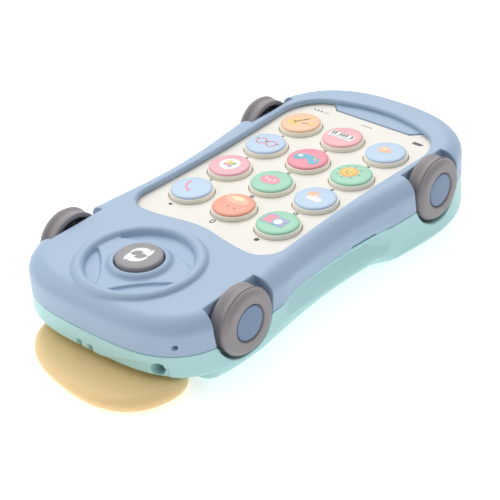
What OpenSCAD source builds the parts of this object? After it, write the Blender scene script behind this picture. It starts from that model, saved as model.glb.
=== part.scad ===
// Toy cell phone shaped like a car: twelve round keys in a screen panel, a moulded steering
// wheel with a mode button in its hub, four free wheels in arches and a soft rear wing.
// Frame: origin on the resting plane under the middle of the whole outline, +X across,
// +Y towards the screen end, +Z up through the keys. Millimetres.

/* [Keypad] */
// Distance between neighbouring keys
key_pitch = 18; // [17.6:0.1:18.2]
// Radius of a key cap
key_r = 7.35; // [7:0.05:7.4]
// How far a key can be pressed
key_travel = 1; // [0.5:0.1:1]
// Height of the key tops above the resting plane
key_top = 25.6; // [25.2:0.1:26]

/* [Body] */
// Half width at the front wheels
front_w = 38.2; // [37.5:0.1:39]
// Half width at the rear wheels
rear_w = 38.9; // [38:0.1:39.2]
// How far the waist is drawn in on each side
waist_dip = 3.6; // [2:0.1:4]
// Length of the rounded front end
front_b = 35.6; // [35:0.1:36]
// Length of the rounded rear end
rear_b = 37.1; // [36:0.1:38]
// Height of the joint between the two shells
seam_z = 15.2; // [15:0.1:15.6]
// Wall thickness of the shells
wall = 2; // [1.8:0.1:2.2]

/* [Wheels] */
// Radius of a road wheel
wheel_r = 10.7; // [10:0.1:10.8]
// Width of a road wheel
wheel_w = 5.6; // [5:0.1:6]
// Distance from the middle of the body to a wheel's outer face
wheel_x = 39.5; // [39:0.1:40]
// Height of the axles
axle_z = 17.7; // [17.5:0.1:17.9]
// Radius of a stub axle
axle_r = 1.5; // [1.2:0.1:1.6]

/* [Steering wheel] */
// Radius of the middle line of the raised ring
ring_r = 18.4; // [18:0.1:18.8]
// Radius of the mode button
mode_r = 7.3; // [7:0.1:7.4]
// How far the mode button can be pressed
mode_travel = 1.5; // [0.8:0.1:1.5]

/* [Rear wing] */
// Half width of the soft wing
wing_w = 28.2; // [27.6:0.1:28.4]
// How far the wing's clamp sits to the right of the middle
wing_x = 3.4; // [3:0.1:3.8]
// How far the wing is turned about its clamp
wing_turn = 10; // [8:0.5:12]
// Thickness of the soft wing
wing_t = 5; // [4.6:0.1:5]

/* [Battery box] */
// Radius of a battery cell
cell_r = 5.25; // [5:0.05:5.25]
// Length of a battery cell
cell_len = 44.5; // [44:0.1:44.5]

/* [Hidden] */
$fn = 48;

// Stations along the body, front (steering wheel end) to rear (screen end)
keypad_y = 21.7;
hub_y = keypad_y - 69.1;
front_axle_y = keypad_y - 64.9;
rear_axle_y = keypad_y + 28.2;
front_cap_y = keypad_y - 57.6;
rear_cap_y = keypad_y + 25.2;
front_n = 3.2;
rear_n = 2.5;
cap_steps = 10;
side_steps = 14;

// Heights from the keys downwards
panel_top = key_top - 2.2;
panel_t = 1.6;
flange_top = panel_top - panel_t - 0.1;
flange_t = 0.8;
board_top = key_top - 7.1;
board_t = 1.2;
membrane_t = 0.5;
dome_h = 0.2;
mode_dome_h = 1.2;
stem_gap = 0.1;
skirt = 0.01;

// Body outline: two superellipse ends joined by drawn-in sides
function mix(a, b, t) = a + (b - a) * t;
function waist(t) = waist_dip * pow(sin(180 * pow(t, 0.9)), 1.3);
function front_point(f) = [front_w * pow(sin(f), 2 / front_n),
                           front_cap_y - front_b * pow(cos(f), 2 / front_n)];
function side_point(t) = [mix(front_w, rear_w, t) - waist(t), mix(front_cap_y, rear_cap_y, t)];
function rear_point(f) = [rear_w * pow(cos(f), 2 / rear_n),
                          rear_cap_y + rear_b * pow(sin(f), 2 / rear_n)];
function mirrored(half) = concat(half, [for (i = [len(half) - 2:-1:1]) [-half[i][0], half[i][1]]]);
body_ring = mirrored(concat(
    [for (k = [0:cap_steps - 1]) front_point(90 * k / cap_steps)],
    [for (k = [0:side_steps - 1]) side_point(k / side_steps)],
    [for (k = [0:cap_steps]) rear_point(90 * k / cap_steps)]));

// A closed outline moved inwards by d along its own normals
function inset(ring, d) = let (n = len(ring)) [for (i = [0:n - 1])
    let (t = ring[(i + 1) % n] - ring[(i + n - 1) % n], s = norm(t))
    ring[i] - d * [t[1], -t[0]] / s];

// Solid through one outline at several [inset, height] levels, lowest first; the flat ends
// are closed by strips across the axis of symmetry
module loft(ring, levels) {
    n = len(ring);
    h = n / 2;
    top = (len(levels) - 1) * n;
    points = [for (l = levels) each [for (p = inset(ring, l[0])) [p[0], p[1], l[1]]]];
    sides = [for (k = [0:len(levels) - 2]) each [for (i = [0:n - 1])
        let (j = (i + 1) % n, a = k * n, b = a + n)
        each [[a + i, b + i, b + j], [a + i, b + j, a + j]]]];
    floor_face = concat([[0, 1, n - 1]],
        [for (i = [1:h - 2]) [i, i + 1, n - i - 1, n - i]], [[h - 1, h, h + 1]]);
    roof_face = [for (f = floor_face) [for (i = [len(f) - 1:-1:0]) f[i] + top]];
    polyhedron(points = points, faces = concat(floor_face, sides, roof_face), convexity = 6);
}

// Quarter-round levels from the wall (a = 0) to the flat (a = 90)
function round_up(d, r, z, h, steps) =
    [for (k = [0:steps]) let (a = 90 * k / steps) [d + r * (1 - cos(a)), z + h * sin(a)]];
function round_down(d, r, z, h, steps) =
    [for (k = [steps:-1:0]) let (a = 90 * k / steps) [d + r * (1 - cos(a)), z - h * sin(a)]];

shoulder_r = 6;
shoulder_h = 5.4;
belly_r = 4.4;
upper_outer = concat([[0, seam_z]],
    round_up(0, shoulder_r, key_top - shoulder_h, shoulder_h, 5));
upper_inner = concat([[wall, seam_z - 1]],
    round_up(wall, shoulder_r - 1, panel_top - shoulder_h + 1, shoulder_h - 1, 3));
lower_outer = concat(round_down(0, belly_r, belly_r, belly_r, 5), [[0, seam_z]]);
lower_inner = concat(round_down(wall, belly_r - 1, belly_r + 1, belly_r - 1, 3),
    [[wall, seam_z + 1]]);

// Where things stand
wheel_places = [[-1, front_axle_y], [1, front_axle_y], [-1, rear_axle_y], [1, rear_axle_y]];
well_r = wheel_r + 0.9;
well_x = wheel_x - wheel_w - 0.9;
liner_t = 1.6;
boss_x = well_x - liner_t - 3.4;
case_screw_places = [[22, -29], [18, 73]];
board_screw_places = [[9, keypad_y + key_pitch], [9, keypad_y - key_pitch]];
mode_screw_x = 13;
wing_screw_xs = [wing_x - 12, wing_x + 12];
wing_screw_y = -58.5;
speaker_y = 44;
switch_y = 68;
switch_throw = 5;
door_y = -8;
door_l = 54;
door_w = 31;
door_screw_y = door_y + door_w / 2 + 1.7;

// Fits and fastenings
gap = 0.2;
cap_gap = 0.25;
boss_r = 3.2;
collar_r = 10.2;
pillar_r = 2.2;
board_pilot_r = 0.8;
board_hole_r = 0.9;
case_pilot_r = 1.2;
case_head_r = 2.4;
wing_pilot_r = 1.1;
door_post_r = 4.5;

// Openings in the lower shell
bay_l = 52;
bay_w = 24;
keel_y = -55;
keel_tilt = 7;
speaker_rim_r = 15.6;
plug_x = 25;
plug_z = 9.6;
strap_xs = [-4.1, 0.5];

module both_sides() {
    children();
    mirror([1, 0, 0]) children();
}

module across(r, x0, x1, y, z) translate([x0, y, z]) rotate([0, 90, 0]) cylinder(r = r, h = x1 - x0);

// Key positions, left to right and rear to front, as on a telephone
function key_place(i) = [(i % 3 - 1) * key_pitch, keypad_y + (1.5 - floor(i / 3)) * 1.01 * key_pitch];

// Screen opening: bowed top, sides that follow the waist, and a bump round the steering wheel
opening_w = 29.6;
opening_dip = 1.5;
opening_corner = 8.5;
hub_bump = 3.1;
function opening_top(x) = keypad_y + 49.9 - x * x / 97;
function opening_bottom(x) = keypad_y - 45.5 + hub_bump * exp(-pow(x / 12.6, 2));
function opening_side(t) = opening_w - opening_dip * sin(180 * t);
opening_outline = let (y0 = opening_bottom(30), y1 = opening_top(30)) mirrored(concat(
    [for (x = [0:3:27]) [x, opening_bottom(x)]],
    [for (k = [0:8]) [opening_side(k / 8), mix(y0, y1, k / 8)]],
    [for (x = [26:-4.2:0.6]) [x, opening_top(x)]], [[0, opening_top(0)]]));
module opening(grow = 0)
    offset(r = opening_corner + grow) offset(delta = -opening_corner) polygon(opening_outline);

// Tab of the upper shell that fills a notch in the panel's rear edge
notch_y = keypad_y + 43.8;
notch_rise = 0.4;
module notch(grow = 0) translate([0, notch_y]) offset(delta = grow)
    polygon([[-15.5, 0], [15.5, 0], [22, 6.5], [22, 12], [-22, 12], [-22, 6.5]]);

module steering_relief() translate([0, hub_y, key_top]) {
    rotate_extrude() translate([ring_r, -0.6]) circle(r = 2.1, $fn = 32);
    rotate_extrude() polygon([[mode_r + 0.35, -1], [collar_r, -1], [collar_r - 0.7, 1.2],
        [collar_r - 1.3, 1.5], [mode_r + 0.35, 1.5]]);
}

// Recessed windows of the moulded steering wheel: a wide one above the hub and a lens on each
// side of the lower spoke
window_r = 16.3;
window_depth = 0.9;
module steering_windows() translate([0, hub_y, key_top - window_depth]) linear_extrude(4) difference() {
    union() {
        difference() {
            circle(r = window_r);
            translate([0, -20.7]) circle(r = 31);
        }
        for (turn = [-44, -136]) rotate(turn) intersection() {
            circle(r = window_r);
            translate([53.5, 0]) circle(r = 42);
        }
    }
    circle(r = collar_r);
}

module upper_shell() color([0.68, 0.76, 0.85]) {
    difference() {
        union() {
            difference() {
                loft(body_ring, upper_outer);
                difference() {
                    loft(body_ring, upper_inner);
                    for (p = wheel_places) mirror([p[0] < 0 ? 1 : 0, 0, 0])
                        across(well_r + liner_t, well_x - liner_t, 60, p[1], axle_z);
                }
            }
            for (p = wheel_places) mirror([p[0] < 0 ? 1 : 0, 0, 0])
                across(boss_r, boss_x, well_x - skirt, p[1], axle_z);
            both_sides() for (p = case_screw_places)
                translate([p[0], p[1], seam_z]) cylinder(r = 3, h = panel_top - seam_z + 0.5);
            both_sides() translate([mode_screw_x, hub_y, board_top])
                cylinder(r = pillar_r, h = panel_top - board_top + 0.5);
            steering_relief();
        }
        for (p = wheel_places) mirror([p[0] < 0 ? 1 : 0, 0, 0]) {
            across(well_r, well_x, 60, p[1], axle_z);
            across(axle_r + 0.05, boss_x - 1, well_x + 1, p[1], axle_z);
        }
        translate([0, 0, panel_top - 1]) linear_extrude(5) opening();
        translate([0, 0, panel_top - panel_t - 0.6]) linear_extrude(panel_t + 0.6) opening(1.2);
        translate([0, hub_y, panel_top - 1]) cylinder(r = mode_r + 0.3, h = 8);
        steering_windows();
        both_sides() for (p = case_screw_places)
            translate([p[0], p[1], seam_z - 1]) cylinder(r = case_pilot_r, h = 6.5);
        both_sides() translate([mode_screw_x, hub_y, board_top - 1])
            cylinder(r = board_pilot_r, h = 4);
    }
    translate([0, 0, panel_top - panel_t]) linear_extrude(panel_t + notch_rise) intersection() {
        opening(2);
        notch();
    }
}

// Speaker holes: one in the middle and two hexagonal rings
speaker_holes = concat([[0, 0]], [for (ring = [1:2]) each [for (k = [0:6 * ring - 1])
    4.4 * ring * [cos(60 * k / ring), sin(60 * k / ring)]]]);

module lower_shell() color([0.66, 0.83, 0.82]) {
    difference() {
        union() {
            difference() {
                loft(body_ring, lower_outer);
                difference() {
                    loft(body_ring, lower_inner);
                    for (p = wheel_places) mirror([p[0] < 0 ? 1 : 0, 0, 0])
                        across(well_r + liner_t, well_x - liner_t, 60, p[1], axle_z);
                    translate([-50, keel_y - 35, -1]) cube([100, 37, 10]);
                    translate([-door_l / 2 - wall, door_y - door_w / 2 - wall, -1])
                        cube([door_l + 2 * wall, door_w + 2 * wall, 5]);
                }
            }
            both_sides() for (p = case_screw_places)
                translate([p[0], p[1], 1]) cylinder(r = 3.6, h = seam_z - 1.05);
            for (x = wing_screw_xs) translate([x, wing_screw_y, 8]) cylinder(r = 3, h = 5);
            translate([0, door_screw_y, 1]) cylinder(r = 4, h = 10);
            translate([0, speaker_y, 1]) difference() {
                cylinder(r = speaker_rim_r, h = 5);
                translate([0, 0, -0.5]) cylinder(r = speaker_rim_r - 1.4, h = 7);
            }
            translate([-8, switch_y - 4, 1]) cube([16, 8, 4.2]);
            translate([-door_l / 2 - 0.5, door_y - 13.5, 3.5]) difference() {
                cube([door_l + 1, 27, 8]);
                translate([1.5, 1.5, -1]) cube([door_l - 2, 24, 10]);
            }
        }
        for (p = wheel_places) mirror([p[0] < 0 ? 1 : 0, 0, 0]) {
            across(well_r, well_x, 60, p[1], axle_z);
            across(3.6, boss_x - 1, well_x, p[1], axle_z);
        }
        translate([0, keel_y, wing_t + gap]) rotate([-keel_tilt, 0, 0])
            translate([-50, -40, -20]) cube([100, 40, 20]);
        for (x = wing_screw_xs) translate([x, wing_screw_y, 4]) cylinder(r = wing_pilot_r, h = 7.5);
        both_sides() for (p = case_screw_places) {
            translate([p[0], p[1], -1]) cylinder(r = 2.7, h = 8);
            translate([p[0], p[1], 5]) cylinder(r = 1.4, h = 12);
        }
        translate([-door_l / 2 - gap, door_y - door_w / 2 - gap, -1])
            cube([door_l + 2 * gap, door_w + 2 * gap, 3]);
        translate([0, door_screw_y, -1]) cylinder(r = door_post_r + gap, h = 3);
        translate([-bay_l / 2, door_y - bay_w / 2, 1]) cube([bay_l, bay_w, 4]);
        translate([0, door_screw_y, 1]) cylinder(r = 1.1, h = 8);
        for (p = speaker_holes)
            translate([p[0], speaker_y + p[1], -1]) cylinder(r = 1.1, h = 5, $fn = 16);
        translate([-7.6, switch_y - 3.6, -1]) cube([15.2, 7.2, 2]);
        translate([-5, switch_y - 2.4, 0]) cube([10, 4.8, 6]);
        translate([plug_x, -60, plug_z]) rotate([90, 0, 0]) cylinder(r = 2, h = 20);
        for (x = strap_xs) translate([x, -72.5, 7.4]) cube([1.8, 3, 2.6]);
    }
}

module key_panel() color([0.96, 0.95, 0.92]) difference() {
    union() {
        translate([0, 0, panel_top - panel_t]) linear_extrude(panel_t) difference() {
            opening(1);
            notch(gap);
        }
        both_sides() for (p = board_screw_places) translate([p[0], p[1], board_top])
            cylinder(r = pillar_r, h = panel_top - panel_t - board_top + 0.5);
    }
    for (i = [0:11]) translate([key_place(i)[0], key_place(i)[1], 0])
        cylinder(r = key_r + cap_gap, h = 40);
    both_sides() for (p = board_screw_places)
        translate([p[0], p[1], board_top - 1]) cylinder(r = board_pilot_r, h = 3.6);
}

// Key: stem that stops on the membrane dome, retaining flange, cap with a printed face on a plain rim
face_r = key_r - 0.5;
key_flange_r = key_r + 0.85;
key_stem_z = board_top + membrane_t + dome_h + stem_gap + key_travel;
module key(i) translate([key_place(i)[0], key_place(i)[1], 0]) rotate_extrude() polygon([
    [0, key_stem_z], [2, key_stem_z], [2, flange_top - flange_t],
    [key_flange_r, flange_top - flange_t], [key_flange_r, flange_top], [key_r, flange_top],
    [key_r, key_top - 0.9], [key_r - 0.25, key_top - 0.6], [face_r, key_top - 0.55],
    [face_r - 0.3, key_top - 0.12], [face_r - 1.2, key_top], [0, key_top]]);

module key_1() color([0.98, 0.80, 0.66]) key(0);
module key_2() color([0.96, 0.71, 0.75]) key(1);
module key_3() color([0.78, 0.86, 0.95]) key(2);
module key_4() color([0.80, 0.88, 0.95]) key(3);
module key_5() color([0.95, 0.60, 0.66]) key(4);
module key_6() color([0.68, 0.88, 0.78]) key(5);
module key_7() color([0.96, 0.68, 0.74]) key(6);
module key_8() color([0.66, 0.87, 0.76]) key(7);
module key_9() color([0.79, 0.87, 0.96]) key(8);
module key_star() color([0.79, 0.88, 0.95]) key(9);
module key_0() color([0.97, 0.65, 0.56]) key(10);
module key_hash() color([0.67, 0.88, 0.77]) key(11);

// Mode button: domed cap in the hub of the steering wheel, over its own rubber dome
mode_flange_r = mode_r + 1.5;
mode_stem_z = board_top + mode_dome_h + stem_gap + mode_travel;
module mode_button() color([0.66, 0.65, 0.66]) translate([0, hub_y, 0]) rotate_extrude() polygon([
    [0, mode_stem_z], [2.5, mode_stem_z], [2.5, panel_top - 1.1], [mode_flange_r, panel_top - 1.1],
    [mode_flange_r, panel_top - 0.2], [mode_r, panel_top - 0.2], [mode_r, key_top + 1.7],
    [mode_r - 0.35, key_top + 2.2], [mode_r - 1.2, key_top + 2.5], [4, key_top + 2.75],
    [0, key_top + 2.8]]);

// Wheel: rim, outer web and hub, with five ribs on the hollow inner side
module wheel(place) translate([place[0] * wheel_x, place[1], axle_z]) rotate([0, place[0] * -90, 0])
    difference() {
        union() {
            rotate_extrude() polygon([[0, 0.9], [5.9, 0.9], [5.9, 0], [9.4, 0], [10.1, 0.25],
                [wheel_r - 0.1, 0.9], [wheel_r, 1.8], [wheel_r - 0.15, wheel_w], [8.6, wheel_w],
                [8.6, 2.2], [2.8, 2.2], [2.8, wheel_w], [0, wheel_w]]);
            for (k = [0:4]) rotate(72 * k) translate([2.5, -0.5, 2]) cube([6.4, 1, 2.4]);
        }
        translate([0, 0, 1.6]) cylinder(r = axle_r, h = 10);
    }
module wheel_fl() color([0.61, 0.59, 0.60]) wheel(wheel_places[0]);
module wheel_fr() color([0.61, 0.59, 0.60]) wheel(wheel_places[1]);
module wheel_rl() color([0.61, 0.59, 0.60]) wheel(wheel_places[2]);
module wheel_rr() color([0.61, 0.59, 0.60]) wheel(wheel_places[3]);

// Hub cap: thin blue disc set in the wheel's outer face
module hub_cap(place) translate([place[0] * (wheel_x - 0.1), place[1], axle_z])
    rotate([0, place[0] * -90, 0]) rotate_extrude()
    polygon([[0, 0], [5.2, 0], [5.6, 0.25], [5.6, 0.8], [0, 0.8]]);
module hub_cap_fl() color([0.57, 0.66, 0.76]) hub_cap(wheel_places[0]);
module hub_cap_fr() color([0.57, 0.66, 0.76]) hub_cap(wheel_places[1]);
module hub_cap_rl() color([0.57, 0.66, 0.76]) hub_cap(wheel_places[2]);
module hub_cap_rr() color([0.57, 0.66, 0.76]) hub_cap(wheel_places[3]);

// Stub axle: steel pin pressed into the wheel, with a collar inside the bearing boss
module stub_axle(place) mirror([place[0] < 0 ? 1 : 0, 0, 0]) {
    across(axle_r, boss_x - 1.5, wheel_x - 1.6, place[1], axle_z);
    across(2.5, boss_x - 1.5, boss_x - 0.2, place[1], axle_z);
}
module stub_axle_fl() color([0.75, 0.76, 0.78]) stub_axle(wheel_places[0]);
module stub_axle_fr() color([0.75, 0.76, 0.78]) stub_axle(wheel_places[1]);
module stub_axle_rl() color([0.75, 0.76, 0.78]) stub_axle(wheel_places[2]);
module stub_axle_rr() color([0.75, 0.76, 0.78]) stub_axle(wheel_places[3]);

// Soft wing: rounded blade turned about its clamp, cut off in front of the body's underside and
// thinned where the clamp bar lies
wing_b = 20.45;
wing_back = 14;
wing_n = 2.4;
wing_reach = 4.4;
wing_edge = [[1.9, 0], [0.8, 0.5], [0.1, 1.6], [0, 2.5], [0.1, wing_t - 1.6], [0.8, wing_t - 0.5],
    [1.9, wing_t]];
wing_ring = mirrored(concat(
    [for (k = [0:12]) let (f = 90 * k / 12)
        [wing_w * pow(sin(f), 2 / wing_n), -wing_b * pow(cos(f), 2 / wing_n)]],
    [for (k = [1:12]) let (f = 90 * k / 12)
        [wing_w * pow(cos(f), 2 / wing_n), wing_back * pow(sin(f), 2 / wing_n)]]));
module rear_wing() color([0.93, 0.82, 0.60]) difference() {
    translate([wing_x, wing_screw_y, 0]) rotate(-wing_turn) translate([0, -wing_reach, 0])
        loft(wing_ring, wing_edge);
    translate([-50, keel_y - 0.3, -1]) cube([100, 40, wing_t + 2]);
    translate([wing_x - 19.5, -61.6, -1]) cube([39, 20, 3.2]);
    for (x = wing_screw_xs) translate([x, wing_screw_y, -1]) cylinder(r = 1.5, h = 10);
}

// Clamp bar that holds the root of the wing against the lower shell
module wing_clamp() color([0.62, 0.80, 0.79]) difference() {
    union() {
        translate([wing_x - 15.5, wing_screw_y - 2.8, 0.2]) cube([31, 5.6, 1.9]);
        for (x = [-15.5, 15.5]) translate([wing_x + x, wing_screw_y, 0.2]) cylinder(r = 2.8, h = 1.9);
    }
    for (x = wing_screw_xs) translate([x, wing_screw_y, -1]) {
        cylinder(r = 1.2, h = 5);
        cylinder(r = 2.3, h = 2.2);
    }
}

// Screw pointing up: round head below a plain shank
module screw(head_r, head_h, shank_r, length) {
    difference() {
        cylinder(r = head_r, h = head_h);
        for (turn = [0, 90]) rotate(turn)
            translate([-head_r * 0.6, -0.25, -1]) cube([head_r * 1.2, 0.5, 1.5]);
    }
    translate([0, 0, head_h - skirt]) cylinder(r = shank_r, h = length + skirt);
}

module wing_screws() color([0.72, 0.73, 0.75])
    for (x = wing_screw_xs) translate([x, wing_screw_y, 0.3]) screw(2.1, 0.9, wing_pilot_r, 9.5);

module battery_door() color([0.66, 0.83, 0.82]) difference() {
    union() {
        translate([-door_l / 2, door_y - door_w / 2, 0.2]) cube([door_l, door_w, 1.8]);
        translate([0, door_screw_y, 0.2]) cylinder(r = door_post_r, h = 1.8);
    }
    for (k = [-2:2]) translate([k * 4 - 0.5, door_y - 12, 0]) cube([1, 6, 0.6]);
    translate([0, door_screw_y, -1]) cylinder(r = 1.3, h = 5);
    translate([0, door_screw_y, -1]) cylinder(r = 2.6, h = 2.4);
}

module door_screw() color([0.72, 0.73, 0.75])
    translate([0, door_screw_y, 0.4]) screw(2.4, 1, 1.1, 6.4);

// Power switch: knob in its recess, moved across the body
module switch_knob() color([0.30, 0.31, 0.33]) translate([-switch_throw / 2, switch_y, 0]) {
    difference() {
        translate([-2, -2.1, 0.4]) cube([4, 4.2, 4.6]);
        for (k = [-1:1]) translate([k * 1.1 - 0.25, -3, 0]) cube([0.5, 6, 0.8]);
    }
    translate([-1.2, -1.2, 5 - skirt]) cube([2.4, 2.4, 1 + skirt]);
}

module slide_switch() color([0.78, 0.79, 0.80]) translate([0, switch_y, 5.2]) difference() {
    translate([-7, -3.5, 0]) cube([14, 7, 4]);
    translate([-5, -1.5, -1]) cube([10, 3, 3]);
}

module key_board() color([0.25, 0.50, 0.33]) translate([0, 0, board_top - board_t]) difference() {
    translate([-25, keypad_y - 35, 0]) cube([50, 70, board_t]);
    both_sides() for (p = board_screw_places)
        translate([p[0], p[1], -1]) cylinder(r = board_hole_r, h = 4);
}

module mode_board() color([0.25, 0.50, 0.33]) translate([0, hub_y, board_top - board_t]) difference() {
    translate([-16, -9, 0]) cube([32, 18, board_t]);
    both_sides() translate([mode_screw_x, 0, -1]) cylinder(r = board_hole_r, h = 4);
}

module key_membrane() color([0.90, 0.90, 0.88]) difference() {
    union() {
        translate([-24.5, keypad_y - 34.5, board_top]) cube([49, 69, membrane_t]);
        for (i = [0:11]) translate([key_place(i)[0], key_place(i)[1], board_top + membrane_t - skirt])
            cylinder(r1 = 5, r2 = 3.2, h = dome_h);
    }
    both_sides() for (p = board_screw_places) translate([p[0], p[1], 0]) cylinder(r = 2.5, h = 40);
}

module mode_dome() color([0.90, 0.90, 0.88]) translate([0, hub_y, board_top]) union() {
    cylinder(r = 7, h = membrane_t);
    cylinder(r1 = 5.5, r2 = 3.5, h = mode_dome_h);
}

module loudspeaker() color([0.35, 0.36, 0.38]) translate([0, speaker_y, wall]) rotate_extrude()
    polygon([[0, 1.4], [4, 1], [12.6, 0.4], [12.6, 0], [14, 0], [14, 2.4], [11, 3.2], [8, 3.2],
        [8, 5.5], [0, 5.5]]);

cell_z = 2.3 + cell_r;
module cell(y) {
    across(cell_r, -cell_len / 2, cell_len / 2 - 0.8, y, cell_z);
    across(1.9, cell_len / 2 - 0.8 - skirt, cell_len / 2, y, cell_z);
}
module battery_a() color([0.30, 0.32, 0.36]) cell(door_y - cell_r - 0.5);
module battery_b() color([0.30, 0.32, 0.36]) mirror([1, 0, 0]) cell(door_y + cell_r + 0.5);

// Contact plates at both ends of the cells, with a cone spring at each negative end
module battery_contacts() color([0.80, 0.81, 0.83]) for (s = [-1, 1]) mirror([s < 0 ? 1 : 0, 0, 0])
    for (side = [-1, 1]) {
        y = door_y + side * (cell_r + 0.5);
        translate([25.4, y - 4.5, 3]) cube([0.5, 9, 8]);
        if (side != s) across(1.5, cell_len / 2, 25.5, y, cell_z);
        else translate([cell_len / 2, y, cell_z]) rotate([0, 90, 0])
            cylinder(r1 = 2.2, r2 = 3.6, h = 25.5 - cell_len / 2);
    }

module sound_chip() color([0.12, 0.12, 0.13]) translate([0, keypad_y - 18, board_top - board_t - 1.5])
    cylinder(r1 = 4, r2 = 6, h = 1.5);

module indicator_lamps() color([0.95, 0.95, 0.90]) both_sides()
    translate([9, keypad_y, board_top + membrane_t]) cylinder(r = 1.5, h = 0.6);

module case_screws() color([0.72, 0.73, 0.75]) both_sides() for (p = case_screw_places)
    translate([p[0], p[1], 4.9]) screw(case_head_r, 2.1, case_pilot_r, 13);

module board_screws() color([0.72, 0.73, 0.75]) both_sides() {
    for (p = concat(board_screw_places, [[mode_screw_x, hub_y]]))
        translate([p[0], p[1], board_top - board_t - 1]) screw(2, 1, board_pilot_r, 3.4);
}

upper_shell();
lower_shell();
key_panel();
key_1();
key_2();
key_3();
key_4();
key_5();
key_6();
key_7();
key_8();
key_9();
key_star();
key_0();
key_hash();
mode_button();
wheel_fl();
wheel_fr();
wheel_rl();
wheel_rr();
hub_cap_fl();
hub_cap_fr();
hub_cap_rl();
hub_cap_rr();
stub_axle_fl();
stub_axle_fr();
stub_axle_rl();
stub_axle_rr();
rear_wing();
wing_clamp();
wing_screws();
battery_door();
door_screw();
switch_knob();
slide_switch();
key_board();
mode_board();
key_membrane();
mode_dome();
loudspeaker();
battery_a();
battery_b();
battery_contacts();
sound_chip();
indicator_lamps();
case_screws();
board_screws();
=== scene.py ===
import math

import bpy
import numpy as np
from mathutils import Matrix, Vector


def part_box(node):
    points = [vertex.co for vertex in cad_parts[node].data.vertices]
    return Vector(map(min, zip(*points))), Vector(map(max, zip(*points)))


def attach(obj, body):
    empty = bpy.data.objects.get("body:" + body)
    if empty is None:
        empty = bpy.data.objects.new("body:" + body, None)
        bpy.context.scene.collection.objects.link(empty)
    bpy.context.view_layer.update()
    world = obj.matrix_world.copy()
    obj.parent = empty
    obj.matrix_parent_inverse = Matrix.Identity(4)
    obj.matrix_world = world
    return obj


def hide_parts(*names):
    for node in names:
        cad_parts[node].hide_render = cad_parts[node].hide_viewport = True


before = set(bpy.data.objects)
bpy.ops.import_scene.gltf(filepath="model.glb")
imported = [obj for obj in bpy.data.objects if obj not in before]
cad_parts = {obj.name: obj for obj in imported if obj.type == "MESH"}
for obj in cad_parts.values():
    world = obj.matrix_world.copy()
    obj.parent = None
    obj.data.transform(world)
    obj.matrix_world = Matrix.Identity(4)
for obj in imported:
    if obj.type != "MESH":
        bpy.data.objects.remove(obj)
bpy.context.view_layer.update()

# ------------------------------------------------------------------------------------ camera
# A long lens well back from the toy, looking down on its front right corner and tipped a little,
# so that the long side of the phone climbs across the picture.
camera_place = (0.2902, -0.3100, 0.2729)
camera_turn, camera_dip, camera_roll = 43.063, 32.185, -3.61
camera = bpy.data.objects.new("camera", bpy.data.cameras.new("camera"))
camera.data.lens = 112.7
camera.data.clip_end = 20
camera.matrix_world = (
    Matrix.Translation(camera_place)
    @ Matrix.Rotation(math.radians(camera_turn), 4, "Z")
    @ Matrix.Rotation(math.radians(90 - camera_dip), 4, "X")
    @ Matrix.Rotation(math.radians(camera_roll), 4, "Z")
)
bpy.context.scene.collection.objects.link(camera)
bpy.context.scene.camera = camera

# ------------------------------------------------------------------------------ floor and light
# A glowing white table under a white tent that is brightest overhead and to the left. The main soft
# box stands behind the far end, so the deck is bright and the near walls lie in soft shade.
white_floor = bpy.data.materials.new("white_floor")
white_floor.use_nodes = True
floor_shader = white_floor.node_tree.nodes["Principled BSDF"]
floor_shader.inputs["Base Color"].default_value = (0.93, 0.93, 0.93, 1)
floor_shader.inputs["Roughness"].default_value = 0.9
floor_shader.inputs["Emission Color"].default_value = (1, 1, 1, 1)
floor_shader.inputs["Emission Strength"].default_value = 0.48
floor_mesh = bpy.data.meshes.new("floor")
floor_mesh.from_pydata([(-4, -4, 0), (4, -4, 0), (4, 4, 0), (-4, 4, 0)], [], [(0, 1, 2, 3)])
floor_mesh.materials.append(white_floor)
floor = bpy.data.objects.new("floor", floor_mesh)
bpy.context.scene.collection.objects.link(floor)

world = bpy.data.worlds.new("tent")
world.use_nodes = True
sky = world.node_tree.nodes["Background"]
sky.inputs["Color"].default_value = (1, 1, 1, 1)
direction = world.node_tree.nodes.new("ShaderNodeTexCoord").outputs["Generated"]
towards_light = world.node_tree.nodes.new("ShaderNodeVectorMath")
towards_light.operation = "DOT_PRODUCT"
towards_light.inputs[1].default_value = (-0.46, 0.30, 0.83)
fade = world.node_tree.nodes.new("ShaderNodeMapRange")
fade.inputs["From Min"].default_value = -0.5
fade.inputs["To Min"].default_value = 0.05
fade.inputs["To Max"].default_value = 1.0
world.node_tree.links.new(direction, towards_light.inputs[0])
world.node_tree.links.new(towards_light.outputs["Value"], fade.inputs["Value"])
world.node_tree.links.new(fade.outputs["Result"], sky.inputs["Strength"])
bpy.context.scene.world = world
bpy.context.scene.view_settings.view_transform = "Standard"


def soft_box(name, place, size, watts):
    """A square area lamp at a place, facing the middle of the table."""
    lamp = bpy.data.objects.new(name, bpy.data.lights.new(name, "AREA"))
    lamp.data.size = size
    lamp.data.energy = watts
    lamp.location = place
    lamp.rotation_euler = lamp.location.to_track_quat("Z", "Y").to_euler()
    bpy.context.scene.collection.objects.link(lamp)


soft_box("back_box", (-0.55, 0.60, 0.95), 0.9, 5)
soft_box("left_box", (-0.85, -0.45, 0.60), 0.7, 1.5)

# ---------------------------------------------------------------------------- moulded finish
# Every plastic piece leaves its mould with a fine spark-eroded grain, a slightly cloudy tint
# where the melt cooled unevenly, and a gloss that wanders a little with both.


def noise(tree, place, scale, detail):
    """Noise texture on the piece's own coordinates, scale in waves per metre."""
    texture = tree.nodes.new("ShaderNodeTexNoise")
    texture.inputs["Scale"].default_value = scale
    texture.inputs["Detail"].default_value = detail
    tree.links.new(place, texture.inputs["Vector"])
    return texture.outputs["Fac"]


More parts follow.
